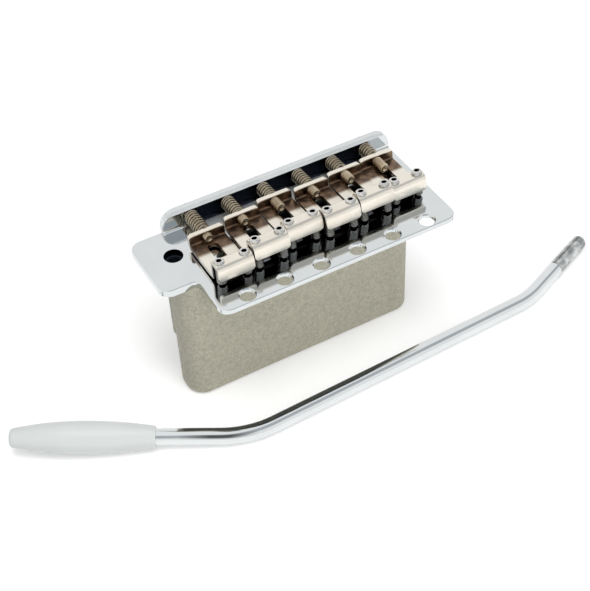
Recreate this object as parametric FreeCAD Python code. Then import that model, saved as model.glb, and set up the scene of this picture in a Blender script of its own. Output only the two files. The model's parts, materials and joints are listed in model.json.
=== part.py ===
import FreeCAD, Part
import math
import os

# A six-saddle tremolo bridge standing on its block, with its arm lying beside it.
# Millimetres. The origin is the middle of the pivot-hole row on the plate's top face.
# +X runs along the row, +Y towards the rear lip and +Z up.

# Strings and pivots
string_count = 6
pivot_span = 56.36
string_pitch = pivot_span / (string_count - 1)

# Base plate
plate_thickness = 2.2
plate_half_width = 36.95
plate_front = 2.95
plate_corner_radius = 3.6
plate_edge_round = 0.5
front_face_height = 1.45
front_bevel_depth = 3.0
lip_front = 33.7
lip_height = 6.0
lip_bend_radius = 1.0
lip_corner_radius = 4.6
ear_width = 10.45
ear_front = 11.8
ear_rear = 34.7
ear_inner_radius = 1.6
pivot_hole_radius = 2.2
pivot_rim_chamfer = 0.3
pivot_relief_radius = 3.3
pivot_land = 1.1
string_row = 17.0
string_hole_pitch = 10.8
plate_string_radius = 1.6
arm_hole_x = 38.4
arm_hole_y = 24.0
arm_hole_radius = 2.75

# Block
block_height = 41.3
block_front = 10.45
block_depth = 12.6
block_left = 42.8
block_right = 30.9
block_corner_radius = 5.3
block_foot_round = 1.5
string_bore_radius = 1.4
string_seat_radius = 2.1
string_seat_depth = 28.0
spring_hole_radius = 1.3
spring_hole_depth = 8.0
spring_hole_setback = 3.1
arm_thread_radius = 2.1
arm_thread_depth = 24.0
arm_boss_radius = 3.0
arm_boss_depth = 26.0

# Screws that hold the plate to the block
block_screw_radius = 1.75
block_screw_length = 13.0
block_screw_head_radius = 3.4
block_screw_head_depth = 1.65
block_screw_row = 19.6
recess_span = 2.6
recess_width = 0.7
recess_depth = 1.1

# Saddles
saddle_gap = 0.522
saddle_sheet = 1.4
saddle_axis_height = 2.9
tab_above_axis = 1.9
floor_below_axis = 2.5
crown_above_axis = 4.2
floor_length = 14.6
crown_depth = 3.25
crown_fall = 0.15
skirt_drop = 3.95
tab_bend_radius = 1.2
riser_bend_radius = 0.85
crease_bend_radius = 1.7
sheet_corner_radius = 1.1
slot_width = 3.2
slot_from_tab = 3.4
slot_to_riser = 0.4
spring_room = 9.2
spring_room_shares = (1.0, 0.92, 0.71, 0.84, 0.77, 0.65)
saddle_pitch_degrees = (0.8, 4.0, 3.9, 3.7, 4.5, 1.4)

# Intonation screws and springs
screw_radius = 1.42
screw_fit = 0.055
lip_hole_clearance = 0.33
screw_reach = 14.1
seat_gap = 0.35
head_radius = 2.4
head_height = 1.8
head_rim = 0.7
screw_pit_radius = 0.8
screw_pit_depth = 0.6
spring_wire = 0.5
spring_mean_radius = 2.2
spring_lead_radius = 0.55
spring_pitch_least = 0.95
spring_end_gap = 0.1

# Height screws
height_screw_radius = 1.42
height_screw_edge = 1.625
height_screw_setback = 1.9
height_screw_proud = 0.7
height_screw_proud_shares = (0.43, 0.86, 0.43, 0.57, 0.93, 1.0)
height_screw_foot_gap = 0.3
height_screw_lean_degrees = 6.5
height_screw_point = 0.45
hex_radius = 0.75
hex_depth = 1.6

# Arm, which lies on the surface that the block stands on
rod_radius = 2.4
thread_end_round = 1.9
tip_end = (-94.97, 19.93)
tip_bend = (-36.5, -11.4)
thread_bend = (61.2, -7.9)
thread_end = (91.37, 4.75)
tip_bend_radius = 30.0
thread_bend_radius = 22.0
tip_length = 40.4
tip_belly_radius = 4.62
tip_nose_radius = 2.8
tip_nose_flat = 1.5
tip_nose_depth = 1.2
tip_neck_radius = 3.05
tip_bore_depth = 24.0
tip_fit = 0.05
tip_floor_gap = 0.18

# Every cut runs past the face that it opens by this much
overrun = 1.0

# Places that follow from the sizes
lip_rear = lip_front + plate_thickness
lip_middle = lip_front + plate_thickness / 2
floor_level = -plate_thickness - block_height
block_rear = block_front + block_depth
block_bottom = floor_level
string_places = [(k - (string_count - 1) / 2) * string_pitch for k in range(string_count)]
string_hole_places = [(k - (string_count - 1) / 2) * string_hole_pitch for k in range(string_count)]
saddle_width = string_pitch - saddle_gap
height_screw_spread = saddle_width / 2 - height_screw_edge
spring_hole_places = [(a + b) / 2 for a, b in zip(string_places, string_places[1:])]
block_screw_places = (-2 * string_hole_pitch, 0, 2 * string_hole_pitch)
along_x = FreeCAD.Vector(1, 0, 0)
along_y = FreeCAD.Vector(0, 1, 0)
along_z = FreeCAD.Vector(0, 0, 1)


def point(x, y, z):
    return FreeCAD.Vector(x, y, z)


def block_of(x0, x1, y0, y1, z0, z1):
    return Part.makeBox(x1 - x0, y1 - y0, z1 - z0, point(x0, y0, z0))


def upright(radius, x, y, z0, z1):
    return Part.makeCylinder(radius, z1 - z0, point(x, y, z0), along_z)


def upright_cone(radius0, radius1, x, y, z0, z1):
    return Part.makeCone(radius0, radius1, z1 - z0, point(x, y, z0), along_z)


def round_corner(before, corner, after, radius):
    # Start, middle, end and centre of the arc that rounds one corner of a flat outline
    def unit(a, b):
        length = math.hypot(b[0] - a[0], b[1] - a[1])
        return ((b[0] - a[0]) / length, (b[1] - a[1]) / length)

    back = unit(corner, before)
    ahead = unit(corner, after)
    half = math.acos(max(-1, min(1, back[0] * ahead[0] + back[1] * ahead[1]))) / 2
    bisector = unit((0, 0), (back[0] + ahead[0], back[1] + ahead[1]))
    tangent = radius / math.tan(half)
    reach = radius / math.sin(half)

    def along(direction, distance):
        return (corner[0] + direction[0] * distance, corner[1] + direction[1] * distance)

    return along(back, tangent), along(bisector, reach - radius), along(ahead, tangent), along(bisector, reach)


def rounded_face(corners, place):
    # A flat face from (a, b, radius) corners; place turns (a, b) into a point in space
    joins = []
    for i, (a, b, radius) in enumerate(corners):
        before = corners[i - 1][:2]
        after = corners[(i + 1) % len(corners)][:2]
        joins.append(round_corner(before, (a, b), after, radius))
    edges = []
    for i, (start, middle, end, centre) in enumerate(joins):
        following = joins[(i + 1) % len(joins)][0]
        if corners[i][2] > 0:
            edges.append(Part.Arc(place(*start), place(*middle), place(*end)).toShape())
        edges.append(Part.LineSegment(place(*end), place(*following)).toShape())
    return Part.Face(Part.Wire(edges))


def plan(z):
    return lambda a, b: point(a, b, z)


def side(x):
    return lambda a, b: point(x, a, b)


def front(y):
    return lambda a, b: point(a, y, b)


def sheet_face(line, radii, thickness, place):
    # The section of a bent sheet: its middle line, offset half a thickness to both sides
    half = thickness / 2

    def normal(a, b):
        length = math.hypot(b[0] - a[0], b[1] - a[1])
        return ((a[1] - b[1]) / length, (b[0] - a[0]) / length)

    def shifted(p, n, offset):
        return (p[0] + n[0] * offset, p[1] + n[1] * offset)

    def chain(offset):
        groups = [(shifted(line[0], normal(line[0], line[1]), offset),)]
        for i, radius in enumerate(radii, start=1):
            start, middle, end, centre = round_corner(line[i - 1], line[i], line[i + 1], radius)
            n0 = normal(line[i - 1], line[i])
            n1 = normal(line[i], line[i + 1])
            inward = (centre[0] - middle[0], centre[1] - middle[1])
            across = (n0[0] + n1[0], n0[1] + n1[1])
            turn = 1 if inward[0] * across[0] + inward[1] * across[1] > 0 else -1
            pull = turn * offset / radius
            middle = shifted(middle, inward, pull)
            groups.append((shifted(start, n0, offset), middle, shifted(end, n1, offset)))
        groups.append((shifted(line[-1], normal(line[-2], line[-1]), offset),))
        return groups

    upper = chain(half)
    lower = [tuple(reversed(group)) for group in reversed(chain(-half))]
    loop = upper + lower
    edges = []
    for group, following in zip(loop, loop[1:] + loop[:1]):
        if len(group) == 3:
            edges.append(Part.Arc(*[place(*p) for p in group]).toShape())
        edges.append(Part.LineSegment(place(*group[-1]), place(*following[0])).toShape())
    return Part.Face(Part.Wire(edges))


def edges_where(shape, test):
    return [edge for edge in shape.Edges if test(edge.BoundBox)]


def cross_recess(centre, across, upwards, depth):
    # Two crossed slots, sunk against the outward direction
    sideways = upwards.cross(across)
    arms = []
    for long_way, short_way in ((across, sideways), (sideways, across)):
        corner = centre - long_way * (recess_span / 2) - short_way * (recess_width / 2) - upwards * depth
        face = Part.Face(Part.makePolygon([
            corner,
            corner + long_way * recess_span,
            corner + long_way * recess_span + short_way * recess_width,
            corner + short_way * recess_width,
            corner,
        ]))
        arms.append(face.extrude(upwards * (depth + overrun)))
    return arms[0].fuse(arms[1])


# Base plate: a bevelled front edge, an ear for the arm and a lip bent up at the rear

def plate_blank():
    bend = lip_front - lip_bend_radius
    outer = lip_bend_radius + plate_thickness
    lean = math.sqrt(0.5)
    inner_middle = (bend + lip_bend_radius * lean, lip_bend_radius - lip_bend_radius * lean)
    outer_middle = (bend + outer * lean, lip_bend_radius - outer * lean)
    place = side(-plate_half_width)
    edges = [
        Part.LineSegment(place(-plate_front, 0), place(bend, 0)).toShape(),
        Part.Arc(place(bend, 0), place(*inner_middle), place(lip_front, lip_bend_radius)).toShape(),
        Part.LineSegment(place(lip_front, lip_bend_radius), place(lip_front, lip_height)).toShape(),
        Part.LineSegment(place(lip_front, lip_height), place(lip_rear, lip_height)).toShape(),
        Part.LineSegment(place(lip_rear, lip_height), place(lip_rear, lip_bend_radius)).toShape(),
        Part.Arc(place(lip_rear, lip_bend_radius), place(*outer_middle), place(bend, -plate_thickness)).toShape(),
        Part.LineSegment(
            place(bend, -plate_thickness), place(front_bevel_depth - plate_front, -plate_thickness)).toShape(),
        Part.LineSegment(
            place(front_bevel_depth - plate_front, -plate_thickness),
            place(-plate_front, -front_face_height)).toShape(),
        Part.LineSegment(place(-plate_front, -front_face_height), place(-plate_front, 0)).toShape(),
    ]
    section = Part.Face(Part.Wire(edges)).extrude(along_x * (2 * plate_half_width))
    outline = rounded_face([
        (-plate_half_width, -plate_front, plate_corner_radius),
        (plate_half_width, -plate_front, plate_corner_radius),
        (plate_half_width, lip_rear + overrun, 0),
        (-plate_half_width, lip_rear + overrun, 0),
    ], plan(-plate_thickness - overrun))
    elevation = rounded_face([
        (-plate_half_width, -plate_thickness - overrun, 0),
        (plate_half_width, -plate_thickness - overrun, 0),
        (plate_half_width, lip_height, lip_corner_radius),
        (-plate_half_width, lip_height, lip_corner_radius),
    ], front(-plate_front - overrun))
    depth = plate_front + lip_rear + 2 * overrun
    height = lip_height + plate_thickness + 2 * overrun
    return section.common(outline.extrude(along_z * height)).common(elevation.extrude(along_y * depth))


def plate_ear():
    inner = -plate_half_width
    outer = inner - ear_width
    root = inner + ear_inner_radius
    slab = rounded_face([
        (outer, ear_front, plate_corner_radius),
        (inner, ear_front, ear_inner_radius),
        (inner, ear_front - plate_corner_radius, 0),
        (root, ear_front - plate_corner_radius, 0),
        (root, lip_front - lip_bend_radius, 0),
        (inner, lip_front - lip_bend_radius, 0),
        (inner, ear_rear, 0),
        (outer, ear_rear, plate_corner_radius),
    ], plan(-plate_thickness))
    return slab.extrude(along_z * plate_thickness)


def top_edges(shape, limit):
    # Level edges on the top face that lie left of the limit
    near = plate_edge_round / 100
    return edges_where(shape, lambda box: max(abs(box.ZMin), abs(box.ZMax)) < near and box.XMax < limit + near)


def base_plate():
    blank = plate_blank()
    front_edges = [edge for edge in top_edges(blank, plate_half_width) if edge.BoundBox.YMax < lip_front - plate_front]
    ear = plate_ear()
    ear = ear.makeFillet(plate_edge_round, top_edges(ear, -plate_half_width - ear_inner_radius))
    blank = blank.makeFillet(plate_edge_round, front_edges)
    lip_edge = edges_where(blank, lambda box: box.ZMin > lip_height - plate_edge_round and box.YMin > lip_middle)
    blank = blank.makeFillet(plate_edge_round, lip_edge)
    plate = blank.fuse(ear).removeSplitter()
    below = -plate_thickness - overrun
    slope = (pivot_relief_radius - pivot_hole_radius) / (plate_thickness - pivot_land)
    cuts = []
    for x in string_places:
        cuts.append(upright(pivot_hole_radius, x, 0, below, overrun))
        cuts.append(upright_cone(
            pivot_hole_radius, pivot_hole_radius + pivot_rim_chamfer + overrun, x, 0, -pivot_rim_chamfer, overrun))
        cuts.append(upright_cone(
            pivot_relief_radius + overrun * slope, pivot_hole_radius, x, 0, below, -pivot_land))
        cuts.append(Part.makeCylinder(
            screw_radius + lip_hole_clearance, plate_thickness + 2 * overrun,
            point(x, lip_front - overrun, saddle_axis_height), along_y))
    for x in string_hole_places:
        cuts.append(upright(plate_string_radius, x, string_row, below, overrun))
    cuts.append(upright(arm_hole_radius, -arm_hole_x, arm_hole_y, below, overrun))
    for x in block_screw_places:
        cuts.append(upright(block_screw_radius + screw_fit, x, block_screw_row, below, overrun))
        cuts.append(block_screw_head(x, screw_fit))
    return plate.cut(cuts)


# Block

def tremolo_block():
    outline = rounded_face([
        (-block_left, block_front, block_corner_radius),
        (block_right, block_front, block_corner_radius),
        (block_right, block_rear, block_corner_radius),
        (-block_left, block_rear, block_corner_radius),
    ], plan(block_bottom))
    block = outline.extrude(along_z * block_height)
    foot = edges_where(block, lambda box: box.ZMax < block_bottom + block_foot_round)
    block = block.makeFillet(block_foot_round, foot)
    top = -plate_thickness
    boss = upright(arm_boss_radius, -arm_hole_x, arm_hole_y, top - arm_boss_depth, top)
    block = block.fuse(boss).removeSplitter()
    cuts = []
    for x in string_hole_places:
        cuts.append(upright(string_bore_radius, x, string_row, block_bottom - overrun, top + overrun))
        cuts.append(upright(
            string_seat_radius, x, string_row, block_bottom - overrun, block_bottom + string_seat_depth))
    for x in spring_hole_places:
        cuts.append(upright(
            spring_hole_radius, x, block_front + spring_hole_setback,
            block_bottom - overrun, block_bottom + spring_hole_depth))
    for x in block_screw_places:
        cuts.append(upright(
            block_screw_radius + screw_fit, x, block_screw_row,
            -block_screw_length - screw_fit, top + overrun))
    cuts.append(upright(arm_thread_radius, -arm_hole_x, arm_hole_y, top - arm_thread_depth, top + overrun))
    return block.cut(cuts)


def block_screw_head(x, clearance):
    head = block_screw_head_radius + clearance
    shank = block_screw_radius + clearance
    return upright_cone(shank, head, x, block_screw_row, -block_screw_head_depth, 0)


def block_screw(x):
    shank = upright(block_screw_radius, x, block_screw_row, -block_screw_length, -block_screw_head_depth)
    screw = shank.fuse(block_screw_head(x, 0)).removeSplitter()
    return screw.cut(cross_recess(point(x, block_screw_row, 0), along_x, along_z, recess_depth))


# Saddles: each set of pieces is made level on its screw axis, then pitched up about the lip hole

def pitched(shape, k):
    turned = shape.copy()
    turned.rotate(point(0, lip_middle, saddle_axis_height), along_x, -saddle_pitch_degrees[k])
    return turned


def tab_rear(k):
    return lip_front - spring_room * spring_room_shares[k]


def saddle_line(k):
    half = saddle_sheet / 2
    rear = tab_rear(k)
    riser = rear - floor_length - half
    crease = riser - crown_depth
    low = saddle_axis_height - floor_below_axis + half
    crown = saddle_axis_height + crown_above_axis - half
    return [
        (rear - half, saddle_axis_height + tab_above_axis),
        (rear - half, low),
        (riser, low),
        (riser, crown),
        (crease, crown - crown_fall),
        (crease, crown - crown_fall - skirt_drop),
    ]


def height_screw_top(k):
    # Middle of the screw's upper end, before the saddle is pitched
    fall = crown_fall / crown_depth * (height_screw_setback - saddle_sheet / 2)
    proud = height_screw_proud * height_screw_proud_shares[k]
    row = tab_rear(k) - floor_length - height_screw_setback
    return row, saddle_axis_height + crown_above_axis - fall + proud


def leaned(shape, k):
    # Height screws lean, foot forward, about the middle of their upper end
    y, z = height_screw_top(k)
    turned = shape.copy()
    turned.rotate(point(0, y, z), along_x, -height_screw_lean_degrees)
    return turned


def saddle(k):
    x = string_places[k]
    left = x - saddle_width / 2
    line = saddle_line(k)
    radii = [tab_bend_radius, riser_bend_radius, riser_bend_radius, crease_bend_radius]
    bent = sheet_face(line, radii, saddle_sheet, side(left)).extrude(along_x * saddle_width)
    top = line[0][1]
    bottom = line[-1][1]
    tab_front = tab_rear(k) - saddle_sheet - tab_bend_radius
    corner = saddle_sheet / 100

    def at_corner(box):
        across = box.XLength < corner and box.ZLength < corner
        on_tab = box.ZMin > top - corner and box.YMin > tab_front
        on_skirt = box.ZMax < bottom + corner and box.YMax < line[-1][0] + saddle_sheet
        return across and (on_tab or on_skirt)

    bent = bent.makeFillet(sheet_corner_radius, edges_where(bent, at_corner))
    slot_rear = tab_rear(k) - slot_from_tab
    slot_front = tab_rear(k) - floor_length + slot_to_riser
    slot_low = saddle_axis_height - floor_below_axis - overrun
    slot_high = saddle_axis_height - floor_below_axis + saddle_sheet + tab_bend_radius
    screw_row, screw_top = height_screw_top(k)
    cuts = [
        block_of(x - slot_width / 2, x + slot_width / 2, slot_front, slot_rear - slot_width / 2,
                 slot_low, slot_high),
        upright(slot_width / 2, x, slot_rear - slot_width / 2, slot_low, slot_high),
        Part.makeCylinder(
            screw_radius + screw_fit, slot_from_tab + slot_width / 2 + overrun,
            point(x, slot_rear - slot_width / 2, saddle_axis_height), along_y),
    ]
    for sign in (-1, 1):
        bore = upright(
            height_screw_radius + screw_fit, x + sign * height_screw_spread, screw_row,
            slot_low - overrun, screw_top + overrun)
        cuts.append(leaned(bore, k))
    return pitched(bent.cut(cuts), k)


def height_screw(k, sign):
    x = string_places[k] + sign * height_screw_spread
    y, top = height_screw_top(k)
    pitch = math.radians(saddle_pitch_degrees[k])
    tilt = pitch + math.radians(height_screw_lean_degrees)
    # The lowest point of the foot stands the foot gap above the plate once the saddle is pitched
    lifted = (lip_middle - y) * math.sin(pitch) + (top - saddle_axis_height) * math.cos(pitch)
    edge = (height_screw_radius - height_screw_point) * math.sin(tilt)
    foot = top - (saddle_axis_height + lifted - edge - height_screw_foot_gap) / math.cos(tilt)
    body = upright(height_screw_radius, x, y, foot + height_screw_point, top)
    point_cone = upright_cone(
        height_screw_radius - height_screw_point, height_screw_radius, x, y, foot, foot + height_screw_point)
    corners = [
        point(x + hex_radius * math.cos(math.radians(60 * i)),
              y + hex_radius * math.sin(math.radians(60 * i)), top - hex_depth)
        for i in range(7)
    ]
    socket = Part.Face(Part.makePolygon(corners)).extrude(along_z * (hex_depth + overrun))
    return pitched(leaned(body.fuse(point_cone).removeSplitter().cut(socket), k), k)


def screw_head():
    # A domed head that stands on its seat at the origin
    dome_rise = head_height - head_rim
    dome_radius = (head_radius ** 2 + dome_rise ** 2) / (2 * dome_rise)
    half_out = head_radius / 2
    half_up = head_height - dome_radius + math.sqrt(dome_radius ** 2 - half_out ** 2)
    profile = [
        Part.LineSegment(point(0, 0, 0), point(head_radius, 0, 0)).toShape(),
        Part.LineSegment(point(head_radius, 0, 0), point(head_radius, 0, head_rim)).toShape(),
        Part.Arc(point(head_radius, 0, head_rim), point(half_out, 0, half_up), point(0, 0, head_height)).toShape(),
        Part.LineSegment(point(0, 0, head_height), point(0, 0, 0)).toShape(),
    ]
    return Part.Face(Part.Wire(profile)).revolve(point(0, 0, 0), along_z, 360)


def intonation_screw(k):
    x = string_places[k]
    seat = lip_rear + seat_gap
    length = screw_reach + seat_gap
    shank = Part.makeCylinder(screw_radius, length, point(x, seat - length, saddle_axis_height), along_y)
    head = screw_head()
    head.Placement = FreeCAD.Placement(
        point(x, seat, saddle_axis_height), FreeCAD.Rotation(along_z, along_y))
    pit = Part.makeCone(
        screw_pit_radius, 0, screw_pit_depth, point(x, seat - length, saddle_axis_height), along_y)
    screw = shank.fuse(head).removeSplitter().cut(pit)
    crown = point(x, seat + head_height, saddle_axis_height)
    return pitched(screw.cut(cross_recess(crown, along_x, along_y, recess_depth)), k)


# Springs: one unbroken wire each, wound from half-turn biarcs

def arc_edge(start, heading, end):
    chord = end - start
    across = heading - chord * (heading.dot(chord) / chord.dot(chord))
    half_turn = math.atan2(across.Length, heading.dot(chord) / chord.Length)
    across.normalize()
    middle = start + chord * 0.5 + across * (chord.Length / 2 * math.tan(half_turn / 2))
    return Part.Arc(start, middle, end).toShape()


def biarc_edges(start, heading, end, leaving):
    # Two arcs that leave start along heading and reach end along leaving
    span = end - start
    total = heading + leaving
    spread = 2 * (1 - heading.dot(leaving))
    drift = span.dot(total)
    reach = (math.sqrt(drift * drift + spread * span.dot(span)) - drift) / spread
    join = (start + heading * reach + end - leaving * reach) * 0.5
    ahead = join - start
    bounced = ahead * (2 * heading.dot(ahead) / ahead.dot(ahead)) - heading
    return [arc_edge(start, heading, join), arc_edge(join, bounced, end)]


def spring_path(x, rear, length):
    # Runs forward from the lip: a straight lead, a bend into the coil, half turns, and the same back out
    coil = length - 2 * (spring_wire + spring_lead_radius)
    half_turns = int(2 * coil / spring_pitch_least)
    step = coil / half_turns
    climb = step / math.pi

    def place(angle):
        return point(
            x + spring_mean_radius * math.cos(angle),
            rear - spring_wire - spring_lead_radius - climb * angle,
            saddle_axis_height + spring_mean_radius * math.sin(angle))

    def circling(angle):
        return point(-math.sin(angle), 0, math.cos(angle))

    def heading(angle):
        way = circling(angle) * spring_mean_radius - along_y * climb
        way.normalize()
        return way

    forward = along_y * -1
    last = half_turns * math.pi
    lead_in = place(0) - circling(0) * spring_lead_radius - forward * spring_lead_radius
    lead_out = place(last) + circling(last) * spring_lead_radius + forward * spring_lead_radius
    edges = [Part.LineSegment(lead_in - forward * spring_wire, lead_in).toShape()]
    edges += biarc_edges(lead_in, forward, place(0), heading(0))
    for i in range(half_turns):
        edges += biarc_edges(
            place(i * math.pi), heading(i * math.pi), place((i + 1) * math.pi), heading((i + 1) * math.pi))
    edges += biarc_edges(place(last), heading(last), lead_out, forward)
    edges.append(Part.LineSegment(lead_out, lead_out + forward * spring_wire).toShape())
    return edges, half_turns


def least_gap(edges):
    # Clear distance between stretches of the wire that lie more than half a turn apart
    samples = []
    travelled = 0
    for edge in edges:
        for p in edge.discretize(9)[:-1]:
            if samples:
                travelled += (p - samples[-1][1]).Length
            samples.append((travelled, p))
    apart = math.pi * spring_mean_radius
    return min(
        (b - a).Length for i, (s, a) in enumerate(samples) for t, b in samples[i + 1:] if t - s > apart
    ) - spring_wire


def intonation_spring(k):
    rear = lip_front - seat_gap
    length = rear - tab_rear(k) - spring_end_gap
    edges, half_turns = spring_path(string_places[k], rear, length)
    path = Part.Wire(edges)
    start = edges[0].Vertexes[0].Point
    ring = Part.Wire(Part.Circle(start, along_y, spring_wire / 2).toShape())
    spring = path.makePipeShell([ring], True, False)
    print("spring", k + 1, "turns", half_turns / 2, "least gap to itself", round(least_gap(edges), 3))
    return pitched(spring, k)


# Arm: straight runs and two bends, a rounded threaded end, and a press-on tip

def arm_points():
    # The tip's belly and the rod beyond the bend both lie on the floor
    rod_level = floor_level + rod_radius
    run = math.hypot(tip_bend[0] - tip_end[0], tip_bend[1] - tip_end[1])
    tip_rise = tip_belly_radius + tip_floor_gap - rod_radius
    tip_level = rod_level + tip_rise / (1 - tip_length / 2 / run)
    return [
        point(*tip_end, tip_level),
        point(*tip_bend, rod_level),
        point(*thread_bend, rod_level),
        point(*thread_end, rod_level),
    ]


def bend_in(before, corner, after, radius):
    back = before - corner
    ahead = after - corner
    back.normalize()
    ahead.normalize()
    half = back.getAngle(ahead) / 2
    bisector = back + ahead
    bisector.normalize()
    tangent = radius / math.tan(half)
    middle = corner + bisector * (radius / math.sin(half) - radius)
    return corner + back * tangent, middle, corner + ahead * tangent


def tremolo_arm():
    tip, first, second, end = arm_points()
    inward = first - tip
    inward.normalize()
    start = tip + inward * (tip_length - tip_bore_depth)
    bends = [bend_in(tip, first, second, tip_bend_radius), bend_in(first, second, end, thread_bend_radius)]
    edges = []
    here = start
    for into, middle, out in bends:
        edges.append(Part.LineSegment(here, into).toShape())
        edges.append(Part.Arc(into, middle, out).toShape())
        here = out
    edges.append(Part.LineSegment(here, end).toShape())
    ring = Part.Wire(Part.Circle(start, inward, rod_radius).toShape())
    rod = Part.Wire(edges).makePipeShell([ring], True, False)
    outer = [edge for edge in rod.Edges if (edge.CenterOfMass - end).Length < rod_radius / 10]
    return rod.makeFillet(thread_end_round, outer)


def arm_tip():
    tip, first = arm_points()[:2]
    axis = first - tip
    axis.normalize()
    belly = tip_length / 2
    profile = [
        Part.LineSegment(point(0, 0, 0), point(tip_nose_flat, 0, 0)).toShape(),
        Part.Arc(
            point(tip_nose_flat, 0, 0),
            point(tip_nose_radius - (tip_nose_radius - tip_nose_flat) * (1 - math.sqrt(0.5)), 0,
                  tip_nose_depth * (1 - math.sqrt(0.5))),
            point(tip_nose_radius, 0, tip_nose_depth)).toShape(),
        Part.Arc(
            point(tip_nose_radius, 0, tip_nose_depth),
            point(tip_belly_radius, 0, belly),
            point(tip_neck_radius, 0, tip_length)).toShape(),
        Part.LineSegment(point(tip_neck_radius, 0, tip_length), point(0, 0, tip_length)).toShape(),
        Part.LineSegment(point(0, 0, tip_length), point(0, 0, 0)).toShape(),
    ]
    body = Part.Face(Part.Wire(profile)).revolve(point(0, 0, 0), along_z, 360)
    bore = Part.makeCylinder(
        rod_radius + tip_fit, tip_bore_depth + tip_fit + overrun,
        point(0, 0, tip_length - tip_bore_depth - tip_fit), along_z)
    tip_piece = body.cut(bore)
    tip_piece.Placement = FreeCAD.Placement(tip, FreeCAD.Rotation(along_z, axis))
    return tip_piece


def write(name, shape):
    assert shape.isValid(), name
    shape.exportStep("parts/" + name + ".step")
    print(name, "solids", len(shape.Solids), "volume", round(shape.Volume, 3))


os.makedirs("parts", exist_ok=True)
write("base_plate", base_plate())
write("tremolo_block", tremolo_block())
write("block_screws", Part.makeCompound([block_screw(x) for x in block_screw_places]))
for k in range(string_count):
    write(f"saddle_{k + 1}", saddle(k))
    write(f"intonation_screw_{k + 1}", intonation_screw(k))
    write(f"intonation_spring_{k + 1}", intonation_spring(k))
    write(f"height_screw_{k + 1}_left", height_screw(k, -1))
    write(f"height_screw_{k + 1}_right", height_screw(k, 1))
write("tremolo_arm", tremolo_arm())
write("arm_tip", arm_tip())
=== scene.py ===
import json
import math
import bpy
from mathutils import Matrix, Vector


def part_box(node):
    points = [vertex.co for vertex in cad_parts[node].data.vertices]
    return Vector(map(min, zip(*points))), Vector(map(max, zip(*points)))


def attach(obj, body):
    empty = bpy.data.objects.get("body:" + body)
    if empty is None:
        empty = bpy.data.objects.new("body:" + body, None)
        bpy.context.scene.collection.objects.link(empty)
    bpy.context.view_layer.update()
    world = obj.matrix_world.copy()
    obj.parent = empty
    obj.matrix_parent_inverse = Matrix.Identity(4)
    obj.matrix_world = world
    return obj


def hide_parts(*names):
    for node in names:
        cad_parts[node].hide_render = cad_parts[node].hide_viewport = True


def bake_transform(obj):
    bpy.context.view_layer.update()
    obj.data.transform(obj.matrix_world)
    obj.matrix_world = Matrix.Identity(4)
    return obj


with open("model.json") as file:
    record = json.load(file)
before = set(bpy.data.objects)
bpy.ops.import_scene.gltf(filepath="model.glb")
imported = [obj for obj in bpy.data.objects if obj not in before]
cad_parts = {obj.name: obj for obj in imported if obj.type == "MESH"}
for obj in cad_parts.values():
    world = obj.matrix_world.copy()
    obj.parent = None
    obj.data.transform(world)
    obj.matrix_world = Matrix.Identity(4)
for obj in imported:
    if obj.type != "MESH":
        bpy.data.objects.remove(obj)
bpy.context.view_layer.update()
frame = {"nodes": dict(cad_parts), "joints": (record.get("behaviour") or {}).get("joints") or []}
nodes = frame["nodes"]
joints = {joint["name"]: joint for joint in frame["joints"]}
saddleCount = sum(1 for name in joints if name.endswith("_lift") and name.startswith("saddle"))
mm = 0.001
xAxis = Vector((1, 0, 0))
zAxis = Vector((0, 0, 1))
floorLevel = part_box("tremolo_block")[0].z


# Shader maths: a socket that takes part in sums, and a material under construction

class Wire:
    def __init__(self, finish, socket):
        self.finish = finish
        self.socket = socket

    def sum(self, operation, first, second):
        return self.finish.node("ShaderNodeMath", {"operation": operation}, {0: first, 1: second})

    def __add__(self, other):
        return self.sum("ADD", self, other)

    def __radd__(self, other):
        return self.sum("ADD", other, self)

    def __sub__(self, other):
        return self.sum("SUBTRACT", self, other)

    def __rsub__(self, other):
        return self.sum("SUBTRACT", other, self)

    def __mul__(self, other):
        return self.sum("MULTIPLY", self, other)

    def __rmul__(self, other):
        return self.sum("MULTIPLY", other, self)


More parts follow.
